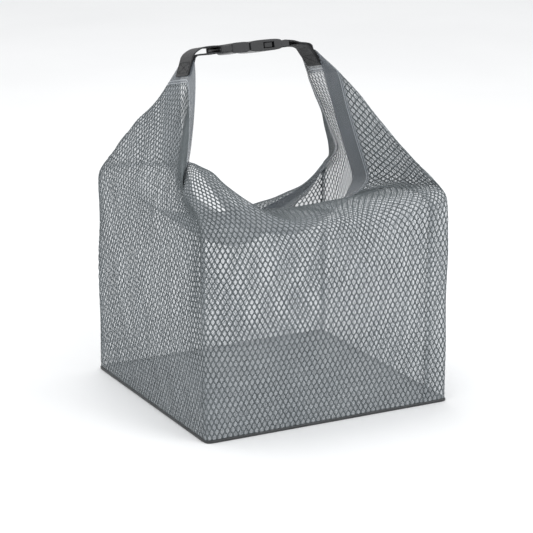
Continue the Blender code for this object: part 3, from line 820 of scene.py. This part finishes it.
@dataclass
class Base:
    """Flat base of netted film and the strip welded round it."""

    form: BagForm
    film_height: float = 1.1
    inset: float = 0.6
    film_points: int = 81
    welt: float = 1.35
    welt_corner: float = 0.7
    strip_points: int = 12
    net_columns: int = 84
    net_cells: int = 25
    samples_per_cell: int = 8
    sway: float = 0.9
    net_half: float = 117.0
    net_margin: float = 1.2
    corner_radius: float = 9.0
    corner_cut: float = 0.8
    yarn: float = 0.5
    yarn_height: float = 0.35

    def outline(self, share: Array, angle: Array) -> Array:
        """Points of the base inside the seam, at a share of the way out in each direction.

        Args:
            share: Shares of the way from the middle to the seam.
            angle: Directions, in radians from +X.

        Returns:
            Flat points, one pair for each share and direction.
        """
        ring = self.form.points[:, 0]
        bearing = np.unwrap(np.arctan2(ring[:, 1], ring[:, 0]))
        radius = np.linalg.norm(ring[:, :2], axis=1) - self.inset
        order = np.argsort(bearing)
        wide = np.concatenate((bearing[order] - math.tau, bearing[order], bearing[order] + math.tau))
        reach = np.interp(angle, wide, np.tile(radius[order], 3))
        return np.stack((reach * share * np.cos(angle), reach * share * np.sin(angle)), axis=-1)

    def make_film(self) -> bpy.types.Object:
        """Flat square grid whose rings are scaled onto the seam's outline.

        Returns:
            The film's object.
        """
        t = np.linspace(-1, 1, self.film_points)
        u, w = np.meshgrid(t, t, indexing="ij")
        share = np.maximum(np.abs(u), np.abs(w))
        flat = self.outline(share, np.arctan2(w * self.form.depth, u * self.form.width))
        points = np.concatenate((flat, np.full((*share.shape, 1), self.film_height)), axis=-1)
        faces = [grid_quads(self.film_points, self.film_points)[:, ::-1]]
        return make_piece("bottom_film", points, faces, closed=False, uv=flat * MM)

    def make_net(self) -> bpy.types.Object:
        """Yarns along the depth of the base, swaying as on the walls, cut off at the seam.

        Returns:
            The net's object.
        """
        half, radius = self.form.width / 2, self.corner_radius
        k = np.arange(1, self.net_columns)[:, None]
        t = np.linspace(-1, 1, self.net_cells * self.samples_per_cell + 1)[None]
        pitch = self.form.width / self.net_columns
        sway = np.cos(math.pi * t * self.net_cells) * (1 - 2 * (k % 2)) * pitch / 2 * self.sway
        x = -half + k * pitch + sway
        corner = np.clip(np.abs(x) - (half - radius), 0, radius)
        cut = (radius - np.sqrt(radius ** 2 - corner ** 2)) * self.corner_cut
        y = t * (self.form.depth / 2 - self.net_margin - cut)
        x = np.clip(x, -self.net_half, self.net_half)
        points = np.stack((x, y, np.full_like(x, self.film_height)), axis=-1)
        side = unit(np.cross(np.gradient(points, axis=1), np.array((0, 0, 1.0))))
        drop = np.array((0, 0, -self.yarn_height))
        ring = np.stack((points - side * self.yarn, points + drop, points + side * self.yarn), axis=2)
        return make_piece("bottom_net", ring, tube_faces(*x.shape, 3))

    def make_welt(self) -> bpy.types.Object:
        """Strip round the base: a rounded square section carried along the seam.

        Returns:
            The strip's object.
        """
        ring = self.form.points[:, 0] * np.array((1, 1, 0))
        ahead = unit(np.roll(ring, -1, axis=0) - np.roll(ring, 1, axis=0))
        out = np.stack((ahead[:, 1], -ahead[:, 0], 0 * ahead[:, 0]), axis=-1)
        turn = np.arange(self.strip_points) * math.tau / self.strip_points
        across = self.welt * np.sign(np.cos(turn)) * np.abs(np.cos(turn)) ** self.welt_corner
        rise = self.welt * (1 + np.sign(np.sin(turn)) * np.abs(np.sin(turn)) ** self.welt_corner)
        section = out[:, None] * across[None, :, None] + np.array((0, 0, 1.0)) * rise[None, :, None]
        points = ring[:, None] + section
        faces = [grid_quads(len(ring), self.strip_points, wrap_rows=True, wrap_columns=True)]
        return make_piece("base_welt", points, faces)

    def build(self, film: bpy.types.Material, net: bpy.types.Material, strip: bpy.types.Material) -> None:
        """Args:
            film: Material of the film.
            net: Material of the net.
            strip: Material of the welt.
        """
        welt, sheet, strands = self.make_welt(), self.make_film(), self.make_net()
        for piece, material, slot in ((welt, strip, "welt_strip"), (sheet, film, "netted_film"),
                                      (strands, net, "netted_film")):
            piece.data.materials.append(material)
            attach(piece, "bag")
        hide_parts("bottom_welt")
        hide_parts("bottom_panel")
        LOG.info("base: welt, film and net")


# ------------------------------------------------------------------ straps

@dataclass
class Straps:
    """Webbing loops that join the two halves of the buckle to the peaks, and their stitching."""

    form: BagForm
    width: float = 25.0
    thickness: float = 1.3
    tail: float = 15.0
    bar_z: float = 317.2
    plug_bar_x: float = -52.5
    socket_bar_x: float = 9.7
    bar_radius: float = 1.9
    gap: float = 0.3
    bar_points: int = 9
    left_around: float = 825.0
    right_around: float = 355.0
    between_peaks: float = -20.0
    slope_reach: float = 20.0
    rest: float = 0.65
    left_over: tuple[Point, ...] = ((-77.6, 0, 316.8), (-71.5, 0, 319.8), (-62.5, 0, 320.5))
    left_under: tuple[Point, ...] = ((-62.0, 0, 314.5), (-70.0, 0, 314.2), (-75.4, 0, 314.0))
    right_over: tuple[Point, ...] = ((36.7, 0, 313.0), (34.5, 0, 314.8), (31.0, 0, 315.8),
                                     (25.0, 0, 316.8), (18.8, 0, 318.7))
    right_under: tuple[Point, ...] = ((19.0, 0, 315.0), (25.0, 0, 315.1), (30.2, 0, 314.3),
                                      (33.5, 0, 312.8), (35.2, 0, 310.8))
    edge: tuple[tuple[float, float], ...] = ((0.0, 0.25), (0.25, 0.85), (0.9, 1.0))
    middle_thickness: float = 0.93
    stations: int = 180
    seam_low: float = 3.0
    seam_high: float = 12.6
    seam_half: float = 10.2
    bare_face: float = 0.6
    stitch: float = 2.1
    stitch_gap: float = 0.7
    thread: float = 0.36
    stitch_along: tuple[float, ...] = (-1.0, -0.8, -0.35, 0.35, 0.8, 1.0)
    stitch_girth: tuple[float, ...] = (0.25, 0.75, 1.0, 1.0, 0.75, 0.25)
    stitch_sides: int = 6

    def peak_frame(self, around: float) -> tuple[Array, Array, Array]:
        """Middle of a peak's edge, its slope and its inward direction, all in the XZ plane.

        Args:
            around: Position of the peak along the base seam.

        Returns:
            The middle, the slope and the inward direction.
        """
        top, _ = self.form.read(np.array(around), np.array(self.form.fabric))
        low, _ = self.form.read(np.array(around), np.array(self.form.fabric - self.slope_reach))
        top, low = top * (1, 0, 1), low * (1, 0, 1)
        slope = unit(top - low)
        side = 1.0 if top[0] > self.between_peaks else -1.0
        return top, slope, np.array((-side * slope[2], 0, side * slope[0]))

    def wrapped(self, centre_x: float, start: float, end: float) -> list[Array]:
        """Arc round a strap bar, angles in degrees from +X towards +Z.

        Args:
            centre_x: Place of the bar along X.
            start: Angle of the first point.
            end: Angle of the last point.

        Returns:
            Points of the arc in order.
        """
        radius = self.bar_radius + self.gap + self.thickness / 2
        angle = np.radians(np.linspace(start, end, self.bar_points))
        return [np.array((centre_x + radius * math.cos(a), 0, self.bar_z + radius * math.sin(a)))
                for a in angle]

    def left_path(self) -> list[Array]:
        """Centre line of the left loop, one layer on each face of the peak.

        Returns:
            Points of the line in order.
        """
        peak, slope, inward = self.peak_frame(self.left_around)
        rest = self.rest + self.thickness / 2
        outer, inner = peak - inward * rest, peak + inward * rest
        path = [outer - slope * self.tail, outer - slope * self.tail / 2, outer, outer + slope * 2.2]
        path += [np.array(p) for p in self.left_over]
        path += self.wrapped(self.plug_bar_x, 95, -95)
        path += [np.array(p) for p in self.left_under]
        path += [inner + slope * 1.6, inner - slope * 2]
        return path + [inner - slope * self.tail / 2, inner - slope * self.tail]

    def right_path(self) -> list[Array]:
        """Centre line of the right loop, both layers on the inner face of the peak.

        Returns:
            Points of the line in order.
        """
        peak, slope, inward = self.peak_frame(self.right_around)
        near = peak + inward * (self.rest + self.thickness / 2)
        far = near + inward * (self.thickness + self.gap)
        path = [near - slope * self.tail, near - slope * self.tail / 2, near, near + slope * 2.0]
        path += [np.array(p) for p in self.right_over]
        path += self.wrapped(self.socket_bar_x, 80, 280)
        path += [np.array(p) for p in self.right_under]
        return path + [far + slope * 2, far, far - slope * self.tail / 2, far - slope * self.tail]

    def make_loop(self, name: str, path: list[Array]) -> bpy.types.Object:
        """Tape along a smooth curve through the path: a flat section with rounded, slightly thicker edges.

        Args:
            name: Name of the piece.
            path: Points of the centre line in order.

        Returns:
            The tape's object.
        """
        knots = np.concatenate(([0], np.cumsum([np.linalg.norm(b - a) for a, b in zip(path, path[1:])])))
        at = np.linspace(0, knots[-1], self.stations)
        line = smooth_curve(knots, np.array(path), at)
        ahead = unit(np.gradient(line, axis=0))
        across = np.stack((-ahead[:, 2], 0 * ahead[:, 0], ahead[:, 0]), axis=-1)
        half, thick = self.width / 2, self.thickness / 2
        top = [(-half + inset, share * thick) for inset, share in self.edge]
        top += [(y, thick * self.middle_thickness) for y in np.linspace(-half + 2.0, half - 2.0, 9)]
        top += [(-a, b) for a, b in reversed(top[:3])]
        profile = np.array(top + [(a, -b) for a, b in reversed(top)])
        points = (line[:, None] + across[:, None] * profile[None, :, 1:]
                  + np.array((0, 1.0, 0)) * profile[None, :, :1])
        points = lean(points)
        uv = np.stack(np.broadcast_arrays(at[:, None], profile[None, :, 0]), axis=-1)
        faces = [grid_quads(self.stations, len(profile), wrap_columns=True),
                 *flat_caps(self.stations, len(profile))]
        return make_piece(name, points, faces, uv=uv)

    def make_stitches(self, name: str, around: float, levels: Sequence[float]) -> bpy.types.Object:
        """Box seam with a cross: short stitches in a row along each line, each a slim egg shape.

        Args:
            name: Name of the piece.
            around: Position of the peak along the base seam.
            levels: Distances from the film along the inward direction, one for each stitched face.

        Returns:
            All stitches as one object.
        """
        peak, slope, inward = self.peak_frame(around)
        low, high, half = self.seam_low, self.seam_high, self.seam_half
        corners = [(-half, low), (half, low), (half, high), (-half, high)]
        runs = list(zip(corners, corners[1:] + corners[:1]))
        runs += [(corners[0], corners[2]), (corners[1], corners[3])]
        flat = []
        for (y0, h0), (y1, h1) in runs:
            length = math.hypot(y1 - y0, h1 - h0)
            count = int(length // (self.stitch + self.stitch_gap))
            share = (np.arange(count) + 0.5) / count
            middle = np.stack((y0 + (y1 - y0) * share, h0 + (h1 - h0) * share), axis=-1)
            direction = np.array((y1 - y0, h1 - h0)) / length
            flat.append(np.concatenate((middle, np.broadcast_to(direction, middle.shape)), axis=-1))
        flat = np.concatenate(flat)
        along = np.array(self.stitch_along) * self.stitch / 2
        girth = np.array(self.stitch_girth) * self.thread
        turn = np.arange(self.stitch_sides) * math.tau / self.stitch_sides
        shells = []
        for level in levels:
            up_dir = inward * math.copysign(1.0, level)
            y_dir = np.array((0, 1.0, 0))
            middle = peak + y_dir * flat[:, :1] - slope * flat[:, 1:2] + inward * level
            forward = y_dir * flat[:, 2:3] - slope * flat[:, 3:4]
            side = unit(np.cross(forward, up_dir))
            ring = (forward[:, None, None] * along[None, :, None, None]
                    + side[:, None, None] * (np.cos(turn)[None, None] * girth[None, :, None])[..., None]
                    + up_dir * (np.sin(turn)[None, None] * girth[None, :, None])[..., None])
            shells.append(middle[:, None, None] + ring)
        points = lean(np.concatenate(shells))
        return make_piece(name, points, tube_faces(len(points), len(along), len(turn)))

    def build(self, tape: bpy.types.Material, thread: bpy.types.Material) -> None:
        """Makes and dresses both loops and their box seams; joins the right loop and both seams to the bag.

        Args:
            tape: Material of the webbing.
            thread: Material of the stitches.
        """
        left = self.make_loop("left_webbing", self.left_path())
        right = self.make_loop("right_webbing", self.right_path())
        face = self.rest + self.thickness
        right_levels = (face + self.thickness + self.gap, -self.bare_face)
        left_seam = self.make_stitches("left_box_seam", self.left_around, (-face, face))
        right_seam = self.make_stitches("right_box_seam", self.right_around, right_levels)
        for piece, material, slot, node in ((left, tape, "webbing", "left_strap"),
                                            (right, tape, "webbing", "right_strap"),
                                            (left_seam, thread, "thread", "left_strap_stitching"),
                                            (right_seam, thread, "thread", "right_strap_stitching")):
            piece.data.materials.append(material)
            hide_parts(node)
        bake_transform(left)
        for piece in (right, left_seam, right_seam):
            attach(piece, "bag")
        LOG.info("straps: two loops and their box seams")


# ------------------------------------------------------------------ buckle

@dataclass
class Buckle:
    """Side-release buckle: the CAD solids have the real shape, and get their moulded finish."""

    nodes: tuple[str, ...] = ("buckle_socket", "buckle_plug", "prong_front", "prong_back")

    def build(self, acetal: bpy.types.Material) -> None:
        """Dresses the moulded pieces.

        Args:
            acetal: Material of the moulding.
        """
        for name in self.nodes:
            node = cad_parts[name]
            if not node.material_slots:
                node.data.materials.append(acetal)
            for slot in node.material_slots:
                slot.material = acetal
        LOG.info("buckle: %d moulded pieces", len(self.nodes))


# ------------------------------------------------------------------ studio

@dataclass(frozen=True)
class Light:
    """A square soft light: its place and its side in metres, and its power in watts."""

    name: str
    place: Point
    size: float
    power: float


@dataclass
class Studio:
    """Camera, lights and the pale floor; its lengths are in metres, and the lens is in millimetres."""

    target: Point = (0.0, 0.0, 0.160)
    distance: float = 1.964
    azimuth: float = -27.587
    elevation: float = 14.659
    lens: float = 146.4
    shift: tuple[float, float] = (-0.0049, -0.0938)
    sensor: float = 36.0
    lights: tuple[Light, ...] = (Light("key_light", (1.1, -1.5, 1.5), 1.2, 16.0),
                                 Light("fill_light", (-1.6, -0.8, 1.0), 1.2, 4.0),
                                 Light("top_light", (-0.1, 0.5, 1.8), 1.0, 10.0))
    sky: float = 0.85
    floor_half: float = 3.0
    floor_points: int = 5

    def add_camera(self) -> None:
        """Camera on a sphere about the target, looking at it."""
        turn, rise = math.radians(self.azimuth), math.radians(self.elevation)
        away = Vector((math.sin(turn) * math.cos(rise), -math.cos(turn) * math.cos(rise), math.sin(rise)))
        data = bpy.data.cameras.new("camera")
        data.lens = self.lens
        data.sensor_width = self.sensor
        data.shift_x, data.shift_y = self.shift
        camera = bpy.data.objects.new("camera", data)
        camera.location = Vector(self.target) + away * self.distance
        camera.rotation_euler = (-away).to_track_quat("-Z", "Y").to_euler()
        bpy.context.scene.collection.objects.link(camera)
        bpy.context.scene.camera = camera

    def add_light(self, light: Light) -> None:
        """Square soft light aimed at the middle of the bag.

        Args:
            light: Its name, place, size and power.
        """
        data = bpy.data.lights.new(light.name, "AREA")
        data.shape = "SQUARE"
        data.size = light.size
        data.energy = light.power
        lamp = bpy.data.objects.new(light.name, data)
        lamp.location = light.place
        lamp.rotation_euler = (Vector(self.target) - Vector(light.place)).to_track_quat("-Z", "Y").to_euler()
        bpy.context.scene.collection.objects.link(lamp)

    def add_surroundings(self, paper: bpy.types.Material) -> None:
        """Even sky and the floor.

        Args:
            paper: Material of the floor.
        """
        world = bpy.data.worlds.new("studio")
        world.use_nodes = True
        sky = world.node_tree.nodes["Background"]
        sky.inputs["Color"].default_value = linear("#FFFFFF")
        sky.inputs["Strength"].default_value = self.sky
        bpy.context.scene.world = world
        bpy.context.scene.view_settings.view_transform = "Standard"
        corner = self.floor_half / MM
        steps = np.linspace(-corner, corner, self.floor_points)
        x, y = np.meshgrid(steps, steps, indexing="ij")
        floor = make_piece("floor", np.stack((x, y, 0 * x), axis=-1), [grid_quads(*x.shape)], closed=False)
        floor.data.materials.append(paper)

    def build(self, paper: bpy.types.Material) -> None:
        """Sets the whole studio.

        Args:
            paper: Material of the floor.
        """
        self.add_camera()
        for light in self.lights:
            self.add_light(light)
        self.add_surroundings(paper)
        LOG.info("studio: camera, %d lights, floor", len(self.lights))


# Each wall's name, its two seams as distances around, and how its cloth is held.
WALLS = (("front", 0.0, 221.0, Held.FOLDED), ("right", 221.0, 470.0, Held.HUNG),
         ("back", 470.0, 710.0, Held.FOLDED), ("left", 710.0, 940.0, Held.HUNG))


def main() -> None:
    """Builds every piece in order."""
    logging.basicConfig(level=logging.INFO, format="%(name)s: %(message)s")
    film, net, band = FILM.build(), NET.build(), BAND.build()
    Studio().build(PAPER.build())
    form = BagForm()
    LOG.info("surface: %s points", form.points.shape[:2])
    for name, start, end, held in WALLS:
        Wall(form, name, start, end, held).build(film, net, band)
    Base(form).build(film, net, WELT.build())
    Straps(form).build(TAPE.build(), THREAD.build())
    Buckle().build(ACETAL.build())


if __name__ == "__main__":
    main()
